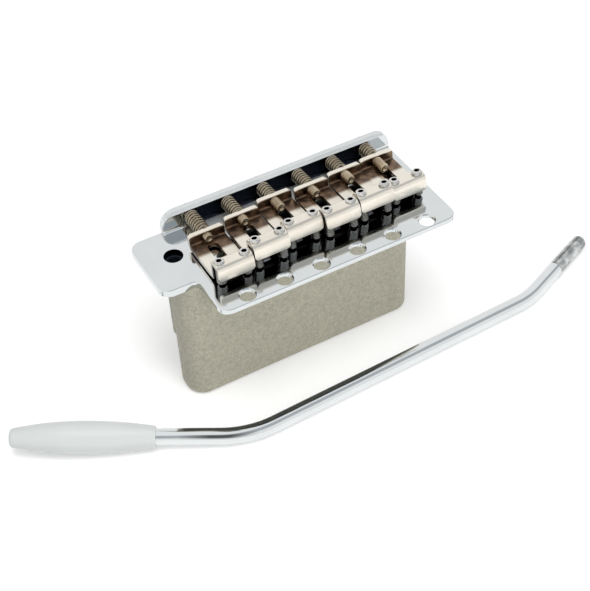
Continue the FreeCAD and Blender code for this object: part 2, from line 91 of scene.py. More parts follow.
class Finish:
    def __init__(self, owner):
        owner.use_nodes = True
        self.owner = owner
        self.tree = owner.node_tree
        self.shader = self.tree.nodes.get("Principled BSDF")

    def feed(self, node, sockets):
        for key, value in sockets.items():
            if isinstance(value, Wire):
                self.tree.links.new(value.socket, node.inputs[key])
            else:
                node.inputs[key].default_value = value

    def node(self, kind, settings=None, sockets=None, output=0):
        made = self.tree.nodes.new(kind)
        for key, value in (settings or {}).items():
            setattr(made, key, value)
        self.feed(made, sockets or {})
        return Wire(self, made.outputs[output])

    def surface(self, sockets):
        self.feed(self.shader, sockets)

    def place(self, stretch=(1, 1, 1)):               # object coordinates, stretched
        here = self.node("ShaderNodeTexCoord", output="Object")
        return self.node("ShaderNodeMapping", {}, {"Vector": here, "Scale": stretch})

    def inFrame(self, frameOf):                       # x, y and z in millimetres in a turned frame
        here = self.node("ShaderNodeTexCoord", output="Object")
        level = self.node("ShaderNodeMapping", {"vector_type": "TEXTURE"}, {
            "Vector": here, "Location": frameOf.to_translation(), "Rotation": frameOf.to_euler(),
            "Scale": (mm, mm, mm)})
        return [self.node("ShaderNodeSeparateXYZ", {}, {"Vector": level}, output=axis) for axis in "XYZ"]

    def noise(self, scale, detail=2.0, stretch=(1, 1, 1)):
        return self.node(
            "ShaderNodeTexNoise", {}, {"Vector": self.place(stretch), "Scale": scale, "Detail": detail})

    def blend(self, factor, first, second):
        return self.node(
            "ShaderNodeMix", {"data_type": "RGBA"}, {"Factor": factor, "A": first, "B": second},
            output="Result")

    def ramp(self, factor, low, high):                # 0 below low, 1 above high
        return self.node(
            "ShaderNodeMapRange", {}, {"Value": factor, "From Min": low, "From Max": high})

    def within(self, value, low, high, soft):         # 1 between low and high, with soft ends
        return self.ramp(value, low - soft, low + soft) * self.ramp(value, high + soft, high - soft)

    def clamped(self, value):
        return self.node("ShaderNodeClamp", {}, {"Value": value})

    def root(self, value):
        return self.node("ShaderNodeMath", {"operation": "SQRT"}, {0: value})

    def bump(self, height, strength, distance, under=None):
        sockets = {"Height": height, "Strength": strength, "Distance": distance}
        if under:
            sockets["Normal"] = under
        return self.node("ShaderNodeBump", {}, sockets)


def newFinish(name):
    return Finish(bpy.data.materials.new(name))


# Finishes: cloud and skin are noise scales, spans are where a noise turns from 0 to 1

chromeLook = {
    "pale": (0.73, 0.75, 0.75, 1), "deep": (0.68, 0.705, 0.71, 1), "rough": 0.045, "haze": 0.05,
    "cloud": 90, "brush": (1, 1, 1),
}
plateLook = {
    "pale": (0.69, 0.715, 0.72, 1), "deep": (0.64, 0.67, 0.68, 1), "rough": 0.045, "haze": 0.05,
    "cloud": 90, "brush": (1, 1, 1),
}
nickelLook = {
    "pale": (0.83, 0.785, 0.70, 1), "deep": (0.76, 0.70, 0.605, 1), "rough": 0.25, "haze": 0.1,
    "cloud": 160, "brush": (0.08, 1, 1),
}
brassyLook = {
    "pale": (0.56, 0.47, 0.35, 1), "deep": (0.34, 0.265, 0.18, 1), "rough": 0.2, "haze": 0.15,
    "cloud": 260, "brush": (1, 1, 1),
}
springLook = {
    "pale": (0.45, 0.40, 0.31, 1), "deep": (0.26, 0.22, 0.16, 1), "rough": 0.22, "haze": 0.16,
    "cloud": 300, "brush": (1, 1, 1),
}
screwLook = {
    "pale": (0.70, 0.69, 0.665, 1), "deep": (0.50, 0.49, 0.47, 1), "rough": 0.2, "haze": 0.15,
    "cloud": 350, "brush": (1, 1, 0.2),
}
polish = {                                            # shared by the polished metals
    "cloudSpan": (0.35, 0.7), "deepShare": 0.7, "hairlines": 12, "cloudHaze": 0.6, "hairHaze": 0.4,
    "hairStrength": 0.08, "hairDepth": 0.01,
}
castLook = {
    "pale": (0.56, 0.54, 0.43, 1), "deep": (0.28, 0.268, 0.212, 1), "grain": 2600, "pits": 900, "cloud": 60,
    "grainSpan": (0.34, 0.68), "pitSpan": (0.3, 0.62), "grainShare": 0.45, "pitShare": 0.3,
    "cloudShare": 0.2, "rough": 0.72, "sparkle": 0.22, "grainRelief": 0.6, "pitRelief": 0.4,
    "reliefStrength": 0.35, "reliefDepth": 0.12, "specular": 0.45,
}
tipLook = {
    "pale": (0.66, 0.69, 0.68, 1), "deep": (0.63, 0.66, 0.65, 1), "rough": 0.16, "haze": 0.12, "cloud": 90,
    "cloudSpan": (0.3, 0.7), "skin": 900, "skinStrength": 0.05, "skinDepth": 0.02, "coat": 0.25,
    "coatRough": 0.05,
}


# the colour callback paints shade and reflections into the base colour; on the arm it also gives the
# thread's bare steel
def polishedMetal(name, look, shadeAndStain=None, dull=None, relief=None):
    finish = newFinish(name)
    cloud = finish.noise(look["cloud"], detail=3.0)
    hairlines = finish.noise(look["cloud"] * polish["hairlines"], stretch=look["brush"])
    mask = finish.ramp(cloud, *polish["cloudSpan"])
    tone = finish.blend(mask * polish["deepShare"], look["pale"], look["deep"])
    cloudy = mask * look["haze"] * polish["cloudHaze"]
    gloss = cloudy + hairlines * look["haze"] * polish["hairHaze"] + look["rough"]
    lines = finish.bump(hairlines, polish["hairStrength"], polish["hairDepth"] * mm)
    finish.surface({
        "Metallic": 1.0,
        "Base Color": shadeAndStain(finish, tone) if shadeAndStain else tone,
        "Roughness": gloss + dull(finish) if dull else gloss,
        "Normal": finish.bump(relief(finish), 1.0, mm, lines) if relief else lines,
    })
    return finish.owner


# the colour callback paints shade into the base colour
def castMetal(name, look, shadeAndStain):
    finish = newFinish(name)
    grain = finish.noise(look["grain"])
    pits = finish.noise(look["pits"], detail=3.0)
    cloud = finish.noise(look["cloud"])
    speckle = finish.ramp(grain, *look["grainSpan"])
    shade = finish.ramp(pits, *look["pitSpan"])
    paleness = speckle * look["grainShare"] + shade * look["pitShare"] + cloud * look["cloudShare"]
    tone = finish.blend(paleness, look["deep"], look["pale"])
    shadedTone = shadeAndStain(finish, tone)
    roughness = look["rough"] - speckle * look["sparkle"]
    relief = grain * look["grainRelief"] + pits * look["pitRelief"]
    finish.surface({
        "Base Color": shadedTone,
        "Roughness": roughness,
        "Normal": finish.bump(relief, look["reliefStrength"], look["reliefDepth"] * mm),
        "Specular IOR Level": look["specular"],
    })
    return finish.owner


def glossyPlastic(name, look):
    finish = newFinish(name)
    cloud = finish.noise(look["cloud"], detail=3.0)
    skin = finish.noise(look["skin"])
    mask = finish.ramp(cloud, *look["cloudSpan"])
    finish.surface({
        "Base Color": finish.blend(mask, look["pale"], look["deep"]),
        "Roughness": look["rough"] + mask * look["haze"],
        "Normal": finish.bump(skin, look["skinStrength"], look["skinDepth"] * mm),
        "Coat Weight": look["coat"],
        "Coat Roughness": look["coatRough"],
    })
    return finish.owner


finishes = {
    "nickel": polishedMetal("brassyScrew", brassyLook),
    "spring_steel": polishedMetal("springWire", springLook),
    "screw_steel": polishedMetal("setScrewSteel", screwLook),
    "tip_plastic": glossyPlastic("tipPlastic", tipLook),
}
print("finishes made:", len(finishes))


# Selection, edit mode and modifiers

weld = 0.002 * mm                                     # points closer than this become one
near = 0.01 * mm                                      # a point this close lies on an edge


def clearSelection():
    if bpy.context.object and bpy.context.object.mode != "OBJECT":
        bpy.ops.object.mode_set(mode="OBJECT")
    bpy.ops.object.select_all(action="DESELECT")


def activate(obj):
    clearSelection()
    obj.select_set(True)
    bpy.context.view_layer.objects.active = obj


def pickPoints(obj, test):                            # select vertices by their place, in edit mode
    activate(obj)
    bpy.context.tool_settings.mesh_select_mode = (True, False, False)
    for polygon in obj.data.polygons:
        polygon.select = False
    for edge in obj.data.edges:
        edge.select = False
    for vertex in obj.data.vertices:
        vertex.select = test(vertex.co)
    bpy.ops.object.mode_set(mode="EDIT")


def wholeMesh(obj):
    pickPoints(obj, lambda place: True)


def objectMode():
    bpy.ops.object.mode_set(mode="OBJECT")


def tidyMesh(obj):                                    # merge doubles, close ends, faces outwards
    wholeMesh(obj)
    bpy.ops.mesh.remove_doubles(threshold=weld)
    bpy.ops.mesh.fill_holes(sides=0)
    bpy.ops.mesh.select_all(action="SELECT")
    bpy.ops.mesh.normals_make_consistent(inside=False)
    objectMode()


def applied(obj, kind, **settings):
    activate(obj)
    modifier = obj.modifiers.new(kind.title(), kind)
    for key, value in settings.items():
        setattr(modifier, key, value)
    bpy.ops.object.modifier_apply(modifier=modifier.name)


def joined(obj, other, operation):
    applied(obj, "BOOLEAN", object=other, operation=operation, solver="EXACT")
    bpy.data.objects.remove(other)


def tracedLine(name, points):                         # one vertex, extruded from point to point
    clearSelection()
    bpy.ops.mesh.primitive_plane_add(size=mm)
    line = bpy.context.object
    line.name = name
    bpy.ops.object.mode_set(mode="EDIT")
    bpy.ops.mesh.merge(type="CENTER")
    bpy.ops.transform.translate(value=points[0])
    for before, after in zip(points, points[1:]):
        bpy.ops.mesh.extrude_region_move(TRANSFORM_OT_translate={"value": Vector(after) - Vector(before)})
    objectMode()
    return line


def lathed(name, points, steps):                      # a traced outline spun about Z
    turned = tracedLine(name, points)
    wholeMesh(turned)
    bpy.ops.mesh.spin(steps=steps, angle=2 * math.pi, center=(0, 0, 0), axis=(0, 0, 1))
    objectMode()
    tidyMesh(turned)
    return turned


def cylinder(radius, low, high, sides=32):
    clearSelection()
    bpy.ops.mesh.primitive_cylinder_add(
        vertices=sides, radius=radius, depth=high - low, location=(0, 0, (low + high) / 2))
    bpy.ops.object.transform_apply(location=True, rotation=True, scale=True)
    return bpy.context.object


def brick(low, high):
    clearSelection()
    middle = (Vector(low) + Vector(high)) / 2
    bpy.ops.mesh.primitive_cube_add(size=1, location=middle)
    made = bpy.context.object
    made.scale = Vector(high) - Vector(low)
    bpy.ops.object.transform_apply(location=True, rotation=True, scale=True)
    return made


def placed(obj, matrix):
    obj.data.transform(matrix)
    obj.data.update()
    return obj


def smoothed(obj, degrees):
    activate(obj)
    bpy.ops.object.shade_smooth_by_angle(angle=math.radians(degrees))


def handOver(obj, name, node, slot, body=None, finish=None):   # name, dress and place a finished piece
    obj.name = name
    obj.data.name = name
    obj.data.materials.clear()
    obj.data.materials.append(finish or finishes[slot])
    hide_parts(node)
    if body:
        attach(obj, body)
    return obj


def copyOf(obj):                                      # a copy with its own mesh
    twin = obj.copy()
    twin.data = obj.data.copy()
    bpy.context.scene.collection.objects.link(twin)
    return twin


def aimed(start, direction):                          # takes +Z from the origin to a ray in space
    turn = zAxis.rotation_difference(Vector(direction).normalized()).to_matrix().to_4x4()
    return Matrix.Translation(start) @ turn


# A thread: one pitch of outline wound by Screw, cut square, ends chamfered

threadForm = {                                        # shares are of the pitch
    "flatShare": 0.14, "crestShare": 0.5, "leadTurns": 1.5, "spareTurns": 4, "seam": 0.001, "cut": 0.0001,
    "sleeveScale": 1.02, "sleeveSides": 48,
}


def threadedRod(name, thread, length):
    form = threadForm
    radius = thread["radius"] * mm
    root = radius - thread["depth"] * mm
    pitch = thread["pitch"] * mm
    start = -form["leadTurns"] * pitch
    flat = pitch * form["flatShare"]
    crest = start + pitch * form["crestShare"]
    outline = [
        (root, 0, start),
        (root, 0, start + flat),
        (radius, 0, crest - flat / 2),
        (radius, 0, crest + flat / 2),
        (root, 0, start + pitch),
    ]
    rod = tracedLine(name, outline)
    applied(
        rod, "SCREW", axis="Z", angle=2 * math.pi, screw_offset=pitch,
        iterations=int(length / pitch) + form["spareTurns"], steps=thread["steps"],
        render_steps=thread["steps"], use_merge_vertices=True, merge_threshold=form["seam"] * mm)
    wholeMesh(rod)
    bpy.ops.mesh.remove_doubles(threshold=weld)
    objectMode()
    for height, way in ((0, -1), (length, 1)):
        wholeMesh(rod)
        bpy.ops.mesh.bisect(
            plane_co=(0, 0, height), plane_no=(0, 0, way), use_fill=True, clear_outer=True,
            threshold=form["cut"] * mm)
        objectMode()
    tidyMesh(rod)
    sleeve = cylinder(radius * form["sleeveScale"], 0, length, form["sleeveSides"])
    pickPoints(sleeve, lambda place: place.z > length / 2)
    bpy.ops.mesh.bevel(offset=thread["topChamfer"] * mm, segments=thread["topSteps"], affect="EDGES")
    objectMode()
    pickPoints(sleeve, lambda place: place.z < thread["chamfer"] * mm / 2)
    bpy.ops.mesh.bevel(offset=thread["chamfer"] * mm, segments=1, affect="EDGES")
    objectMode()
    joined(rod, sleeve, "INTERSECT")
    return rod


def axisEnds(node, along):                            # the two ends of a round node's axis
    points = [vertex.co for vertex in nodes[node].data.vertices]
    across = along.cross(xAxis).normalized()

    def span(direction):
        values = [place.dot(direction) for place in points]
        return min(values), max(values)

    def middle(direction):
        return direction * (sum(span(direction)) / 2)

    centre = middle(xAxis) + middle(across)
    low, high = span(along)
    return centre + along * low, centre + along * high


def saddlePlace(number):                              # origin in the lip hole, +Y along the intonation screw
    pivot = Vector(joints[f"saddle_{number}_lift"]["pos_m"])
    along = Vector(joints[f"saddle_{number}_slide"]["axis"])
    return Matrix.Translation(pivot) @ Matrix.Rotation(math.atan2(along.z, along.y), 4, "X")


def levelBox(node, place):                            # a node's box in that frame
    back = place.inverted()
    points = [back @ vertex.co for vertex in nodes[node].data.vertices]
    return [Vector([pick(point[axis] for point in points) for axis in range(3)]) for pick in (min, max)]


# Saddles: a strip bent by extrusion, thickened, cut and edge-rounded

saddleShape = {
    "width": 10.75, "sheet": 1.4, "tabTop": 1.9, "floorDrop": 2.5, "crownRise": 4.2, "floorLength": 14.6,
    "crownDepth": 3.05, "crownFall": 0.15, "skirtDrop": 3.95, "skirtLean": 6.0, "tabBend": 1.2,
    "riserBend": 0.85, "creaseBend": 1.7, "bendSteps": 6, "cornerRound": 1.1, "cornerSteps": 5,
    "edgeRound": 0.16, "edgeSteps": 2, "edgeAngle": 40, "smoothAngle": 35, "slotWidth": 3.2,
    "slotFromTab": 3.4, "slotToRiser": 0.4, "screwHole": 1.475, "overcut": 2.0,
}
saddlePaintedLight = {                                       # painted brown reflection in the tab's fold, painted shade under the crown
    "dark": (0.045, 0.021, 0.010, 1), "pale": (0.20, 0.118, 0.066, 1), "paintedShade": (0.012, 0.012, 0.012, 1),
    "patches": 420, "patchSpan": (0.35, 0.65), "reach": 5.4, "fade": 0.6, "foldEdge": (0.2, 0.05),
    "tabEdge": (0.2, 0.45), "strength": 0.94, "soft": 0.12, "underEdge": 0.1, "cornerHeight": (0.6, 0.3),
    "cornerReach": (1.6, 1.3),
}


def bendEdge(obj, y, z, radius, turnDegrees):         # round one fold of the strip
    pickPoints(obj, lambda place: abs(place.y - y) < near and abs(place.z - z) < near)
    offset = radius * mm * math.tan(math.radians(turnDegrees) / 2)
    bpy.ops.mesh.bevel(
        offset=offset, offset_type="OFFSET", segments=saddleShape["bendSteps"], affect="EDGES")
    objectMode()


def makeSaddle():
    shape = saddleShape
    half = shape["sheet"] / 2
    rear = -half                                      # the tab's rear face is at y 0, the screw axis at z 0
    riser = -shape["floorLength"] - half
    crease = riser - shape["crownDepth"]
    low = half - shape["floorDrop"]
    crown = shape["crownRise"] - half
    brow = crown - shape["crownFall"]
    folds = [(rear, low), (riser, low), (riser, crown), (crease, brow)]
    foot = crease - shape["skirtDrop"] * math.tan(math.radians(shape["skirtLean"]))
    line = [(rear, shape["tabTop"])] + folds + [(foot, brow - shape["skirtDrop"])]
    strip = tracedLine("saddle", [(-shape["width"] / 2 * mm, y * mm, z * mm) for y, z in line])
    wholeMesh(strip)
    bpy.ops.mesh.extrude_region_move(TRANSFORM_OT_translate={"value": (shape["width"] * mm, 0, 0)})
    objectMode()
    fallAngle = math.degrees(math.atan2(shape["crownFall"], shape["crownDepth"]))
    turns = [90, 90, 90 + fallAngle, 90 - fallAngle - shape["skirtLean"]]
    radii = [shape["tabBend"], shape["riserBend"], shape["riserBend"], shape["creaseBend"]]
    for (y, z), radius, turn in zip(folds, radii, turns):
        bendEdge(strip, y * mm, z * mm, radius, turn)
    tips = (line[0], line[-1])
    pickPoints(strip, lambda place: any(
        abs(place.y - y * mm) < near and abs(place.z - z * mm) < near for y, z in tips))
    bpy.ops.mesh.bevel(
        offset=shape["cornerRound"] * mm, segments=shape["cornerSteps"], affect="VERTICES")
    objectMode()
    applied(strip, "SOLIDIFY", thickness=shape["sheet"] * mm, offset=0, use_even_offset=True)
    tidyMesh(strip)
    slotRear = -shape["slotFromTab"] - shape["slotWidth"] / 2
    slotFront = -shape["floorLength"] + shape["slotToRiser"]
    slotHalf = shape["slotWidth"] / 2 * mm
    bottom = (low - shape["overcut"]) * mm
    top = (low + half + shape["tabBend"]) * mm
    slot = brick((-slotHalf, slotFront * mm, bottom), (slotHalf, slotRear * mm, top))
    joined(strip, slot, "DIFFERENCE")
    roundEnd = placed(cylinder(slotHalf, bottom, top), Matrix.Translation((0, slotRear * mm, 0)))
    joined(strip, roundEnd, "DIFFERENCE")
    tabHole = cylinder(shape["screwHole"] * mm, slotRear * mm, mm)
    placed(tabHole, Matrix.Rotation(-math.pi / 2, 4, "X"))
    joined(strip, tabHole, "DIFFERENCE")
    return strip


def heightHoles(saddle, number, place):               # holes follow the height screws where they stand
    for side in ("left", "right"):
        node = f"height_screw_{number}_{side}"
        along = Vector(joints[node + "_drive"]["axis"])
        high, low = axisEnds(node, along)
        above = saddleShape["overcut"] * mm
        bore = cylinder(saddleShape["screwHole"] * mm, -above, (low - high).length)
        placed(bore, aimed(high, along))
        placed(bore, place.inverted())
        joined(saddle, bore, "DIFFERENCE")


def saddleFinish(number, place, tabRear):
    shape, look = saddleShape, saddlePaintedLight

    def shadeAndStain(finish, tone):
        x, y, z = finish.inFrame(place @ Matrix.Translation((0, tabRear, 0)))
        ahead = 0 - y                                 # forward of the tab's rear face
        # painted reflection: brown patches in the fold between tab and floor
        patches = finish.ramp(finish.noise(look["patches"], detail=3.0), *look["patchSpan"])
        foldEnd = shape["sheet"] + look["reach"]
        fold = finish.ramp(ahead, *(shape["sheet"] - edge for edge in look["foldEdge"]))
        fold = fold * finish.ramp(ahead, foldEnd + look["fade"], foldEnd - look["fade"])
        fold = fold * finish.ramp(z, *(shape["tabTop"] - edge for edge in look["tabEdge"]))
        fold = fold * look["strength"]
        warm = finish.blend(patches, look["dark"], look["pale"])
        toned = finish.blend(fold, tone, warm)
        # painted shade in the crown's hollow, on the underside and in the riser's corner
        inner = shape["crownRise"] - shape["sheet"]
        middle = shape["floorLength"] + shape["sheet"] / 2
        hollow = finish.within(ahead, middle, middle + shape["crownDepth"], look["soft"])
        hollow = hollow * finish.ramp(z, inner + look["soft"], inner - look["soft"])
        under = finish.ramp(z, look["underEdge"] - shape["floorDrop"], -shape["floorDrop"])
        corner = finish.ramp(z, *(edge - shape["floorDrop"] for edge in look["cornerHeight"]))
        corner = corner * finish.ramp(ahead, *(middle - edge for edge in look["cornerReach"]))
        return finish.blend(finish.clamped(hollow + under + corner), toned, look["paintedShade"])

    return polishedMetal(f"warmNickel_{number}", nickelLook, shadeAndStain)


saddleModel = makeSaddle()
for number in range(1, saddleCount + 1):
    place = saddlePlace(number)
    tabRear = levelBox(f"saddle_{number}", place)[1].y
    saddle = placed(copyOf(saddleModel), Matrix.Translation((0, tabRear, 0)))
    heightHoles(saddle, number, place)
    applied(
        saddle, "BEVEL", width=saddleShape["edgeRound"] * mm, segments=saddleShape["edgeSteps"],
        limit_method="ANGLE", angle_limit=math.radians(saddleShape["edgeAngle"]), use_clamp_overlap=True)
    placed(saddle, place)
    smoothed(saddle, saddleShape["smoothAngle"])
    finish = saddleFinish(number, place, tabRear)
    handOver(saddle, f"bentSaddle_{number}", f"saddle_{number}", "nickel", f"saddle_{number}", finish)
bpy.data.objects.remove(saddleModel)
print("saddles bent:", saddleCount)


# Height screws: threaded, with a hexagon socket

heightScrew = {
    "radius": 1.42, "depth": 0.24, "pitch": 0.5, "steps": 28, "chamfer": 0.4, "topChamfer": 0.16,
    "topSteps": 2, "hexRadius": 0.86, "hexDepth": 1.6, "footTrim": 0.1, "smoothAngle": 30,
}
screwPaintedShade = {                                        # painted shade on the shaft below a bright rim, painted shade in the socket
    "shaftShade": (0.27, 0.268, 0.255, 1), "paintedShade": (0.01, 0.01, 0.01, 1), "rim": 1.3, "rimFade": 0.3,
    "socketEdge": (0.08, 0.02), "socketTop": (-0.02, -0.1),
}


def makeHeightScrew(length):
    screw = threadedRod("heightScrew", heightScrew, length)
    deep = length - heightScrew["hexDepth"] * mm
    socket = cylinder(heightScrew["hexRadius"] * mm, deep, length + mm, sides=6)
    joined(screw, socket, "DIFFERENCE")
    return screw


def heightScrewFinish(name, top, upward):
    look = screwPaintedShade

    def shadeAndStain(finish, tone):
        x, y, z = finish.inFrame(aimed(top, upward))
        # painted shade on the shaft under the saddle and in the hexagon socket
        shadedShaft = finish.ramp(z, look["rimFade"] - look["rim"], -look["rimFade"] - look["rim"])
        edges = [heightScrew["hexRadius"] + edge for edge in look["socketEdge"]]
        socket = finish.ramp(finish.root(x * x + y * y), *edges)
        socket = socket * finish.ramp(z, *look["socketTop"])
        return finish.blend(socket, finish.blend(shadedShaft, tone, look["shaftShade"]), look["paintedShade"])

    return polishedMetal(name, screwLook, shadeAndStain)


for number in range(1, saddleCount + 1):
    pair = None
    for side in ("left", "right"):
        node = f"height_screw_{number}_{side}"
        along = Vector(joints[node + "_drive"]["axis"])
        high, low = axisEnds(node, along)
        foot = low - along * heightScrew["footTrim"] * mm
        pair = pair or makeHeightScrew((high - foot).length)
        screw = placed(copyOf(pair), aimed(foot, -along))
        smoothed(screw, heightScrew["smoothAngle"])
        name = f"setScrew_{number}_{side}"
        handOver(screw, name, node, "screw_steel", node, heightScrewFinish(name, high, -along))
    bpy.data.objects.remove(pair)
print("height screws threaded:", 2 * saddleCount)


# Intonation screws: threaded shank, domed head with a cross recess, pit in the front end

intonationScrew = {
    "radius": 1.42, "depth": 0.27, "pitch": 0.635, "steps": 28, "chamfer": 0.3, "topChamfer": 0.05,
    "topSteps": 1, "shank": 14.45, "lap": 0.4, "headRadius": 2.2, "headHeight": 1.5, "headRim": 0.45,
    "domeSteps": 8, "headSides": 40, "recessSpan": 2.6, "recessWidth": 0.7, "recessDepth": 1.0,
    "pitRadius": 0.96, "pitDepth": 0.84, "pitSink": 0.28, "pitSides": 24, "smoothAngle": 30,
}


def makeIntonationScrew():
    shape = intonationScrew
    shank = shape["shank"] * mm
    screw = threadedRod("intonationScrew", shape, shank + shape["lap"] * mm)
    rise = shape["headHeight"] - shape["headRim"]
    dome = (shape["headRadius"] ** 2 + rise ** 2) / (2 * rise)
    steps = shape["domeSteps"]
    outline = [(0, 0, shank), (shape["headRadius"] * mm, 0, shank)]
    for step in range(steps + 1):
        across = shape["headRadius"] * (1 - step / steps)
        height = shape["headHeight"] - dome + math.sqrt(dome ** 2 - across ** 2)
        outline.append((across * mm, 0, shank + height * mm))
    head = lathed("screwHead", outline, shape["headSides"])
    joined(screw, head, "UNION")
    top = shank + shape["headHeight"] * mm
    span, width = shape["recessSpan"] / 2 * mm, shape["recessWidth"] / 2 * mm
    for x, y in ((span, width), (width, span)):
        joined(screw, brick((-x, -y, top - shape["recessDepth"] * mm), (x, y, top + mm)), "DIFFERENCE")
    clearSelection()
    bpy.ops.mesh.primitive_cone_add(
        vertices=shape["pitSides"], radius1=shape["pitRadius"] * mm, radius2=0, depth=shape["pitDepth"] * mm,
        location=(0, 0, shape["pitSink"] * mm))
    pit = bpy.context.object
    bpy.ops.object.transform_apply(location=True, rotation=True, scale=True)
    joined(screw, pit, "DIFFERENCE")
    return screw


screwModel = makeIntonationScrew()
for number in range(1, saddleCount + 1):
    node = f"intonation_screw_{number}"
    along = Vector(joints[node + "_turn"]["axis"])
    front, rear = axisEnds(node, along)
    screw = placed(copyOf(screwModel), aimed(front, along))
    smoothed(screw, intonationScrew["smoothAngle"])
    handOver(screw, f"threadedScrew_{number}", node, "nickel", f"screw_{number}")
bpy.data.objects.remove(screwModel)
print("intonation screws threaded:", saddleCount)


# Springs: one wire wound by formula, closer at both ends

springCoil = {
    "pitch": 1.1, "wire": 0.52, "meanRadius": 1.9, "pointsPerTurn": 28, "endTurns": 0.75, "endGap": 1.02,
    "wireSteps": 3, "smoothAngle": 50,
}


def makeSpring(number):
    shape = springCoil
    place = saddlePlace(number)
    low, high = levelBox(f"intonation_spring_{number}", place)
    front, rear = low.y + shape["wire"] / 2 * mm, high.y - shape["wire"] / 2 * mm
    closed = shape["wire"] * shape["endGap"] * mm     # one turn's advance at the ends
    middle = rear - front - 2 * shape["endTurns"] * closed
    openTurns = round(4 * middle / (shape["pitch"] * mm)) / 4   # to the quarter turn
    turns = openTurns + 2 * shape["endTurns"]
    count = round(turns * shape["pointsPerTurn"])
    radius = shape["meanRadius"] * mm
    points = []
    travelled = rear
    for step in range(count + 1):
        turn = step / shape["pointsPerTurn"]
        angle = 2 * math.pi * turn
        points.append(place @ Vector((radius * math.cos(angle), travelled, radius * math.sin(angle))))
        atEnd = turn < shape["endTurns"] or turn >= turns - shape["endTurns"]
        travelled -= (closed if atEnd else middle / openTurns) / shape["pointsPerTurn"]
    curve = bpy.data.curves.new(f"coil_{number}", "CURVE")
    curve.dimensions = "3D"
    spline = curve.splines.new("POLY")
    spline.points.add(len(points) - 1)
    for target, source in zip(spline.points, points):
        target.co = (*source, 1)
    curve.bevel_depth = shape["wire"] / 2 * mm
    curve.bevel_resolution = shape["wireSteps"]
    curve.use_fill_caps = True
    coil = bpy.data.objects.new(f"coil_{number}", curve)
    bpy.context.scene.collection.objects.link(coil)
    activate(coil)
    bpy.ops.object.convert(target="MESH")
    coil = bpy.context.object
    tidyMesh(coil)
    smoothed(coil, shape["smoothAngle"])
    handOver(coil, f"coilSpring_{number}", f"intonation_spring_{number}", "spring_steel")
    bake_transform(coil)


for number in range(1, saddleCount + 1):
    makeSpring(number)
print("springs wound:", saddleCount)


# Arm: a ring extruded and spun along its route, with a threaded end

armShape = {
    "tipEnd": (-94.97, 19.93), "tipBend": (-36.5, -11.4), "threadBend": (61.2, -7.9),
    "threadEnd": (91.37, 4.75), "radius": 2.4, "tipBendRadius": 30.0, "threadBendRadius": 22.0,
    "threadLength": 16.6, "threadLap": 0.4, "sides": 56, "bendSteps": 16, "smoothAngle": 30,
}
armThread = {
    "radius": 2.25, "depth": 0.3, "pitch": 0.8, "steps": 40, "chamfer": 0.05, "topChamfer": 1.75,
    "topSteps": 6, "steel": (0.64, 0.66, 0.66, 1), "grime": (0.30, 0.31, 0.31, 1), "patches": 330,
    "patchSpan": (0.4, 0.62), "startSpan": (-0.1, 0.1),
}
armPaintedReflections = {                                          # painted reflections: dark bands along the rod, by the way it faces
    "upper": (0.0, 0.80, 0.60), "upperSpan": (0.35, 0.45), "upperReach": (-53.0, 24.0), "upperFade": 1.0,
    "upperShade": (0.14, 0.152, 0.165, 1), "rightTaper": (2.0, 24.0), "rightRise": 0.62,
    "leftTaper": (-30.0, -45.0), "leftRise": 0.17, "front": (0.0, -0.60, 0.80), "rearEnd": (-0.35, -0.1),
    "lower": (0.363, 0.679, 0.639), "lowerSpan": (-0.28, 0.14), "lowerSoft": 0.08,
    "lowerReach": (-51.0, -38.0), "lowerFade": 4.0, "lowerShade": (0.16, 0.16, 0.16, 1),
    "skyward": (0.0, 0.2),
}
tipShape = {
    "length": 40.4, "bellyRadius": 4.62, "noseRadius": 2.8, "noseFlat": 1.5, "noseDepth": 1.2,
    "noseSteps": 6, "neckRadius": 3.05, "boreDepth": 24.0, "boreGap": 0.05, "floorGap": 0.18, "steps": 28,
    "sides": 64, "smoothAngle": 40,
}


def armRoute():
    rod = floorLevel + armShape["radius"] * mm
    run = math.dist(armShape["tipEnd"], armShape["tipBend"])
    rise = tipShape["bellyRadius"] + tipShape["floorGap"] - armShape["radius"]
    tip = rod + rise / (1 - tipShape["length"] / 2 / run) * mm
    corners = [armShape["tipEnd"], armShape["tipBend"], armShape["threadBend"], armShape["threadEnd"]]
    return [Vector((x * mm, y * mm, z)) for (x, y), z in zip(corners, (tip, rod, rod, rod))]


def bendOf(before, corner, after, radius):            # where a bend starts, its centre, axis and angle
    back = (before - corner).normalized()
    ahead = (after - corner).normalized()
    half = back.angle(ahead) / 2
    start = corner + back * radius / math.tan(half)
    centre = corner + (back + ahead).normalized() * radius / math.sin(half)
    axis = (-back).cross(ahead).normalized()
    return start, centre, axis, math.pi - 2 * half


def bandedChrome(finish, tone):                       # painted reflection of the block, dark towards it, with a painted dark line near the tip
    look = armPaintedReflections
    x = finish.inFrame(Matrix.Identity(4))[0]
    normal = finish.node("ShaderNodeNewGeometry", output="Normal")

    def facing(way):
        return finish.node(
            "ShaderNodeVectorMath", {"operation": "DOT_PRODUCT"}, {0: normal, 1: way}, output="Value")

    height = facing(look["upper"]) - finish.ramp(x, *look["rightTaper"]) * look["rightRise"]
    height = height - finish.ramp(x, *look["leftTaper"]) * look["leftRise"]
    upper = finish.ramp(height, *look["upperSpan"])
    upper = upper * finish.ramp(facing(look["front"]), *look["rearEnd"])
    upper = upper * finish.within(x, *look["upperReach"], look["upperFade"])
    lower = finish.within(facing(look["lower"]), *look["lowerSpan"], look["lowerSoft"])
    lower = lower * finish.ramp(facing(zAxis), *look["skyward"])
    lower = lower * finish.within(x, *look["lowerReach"], look["lowerFade"])
    return finish.blend(upper, finish.blend(lower, tone, look["lowerShade"]), look["upperShade"])


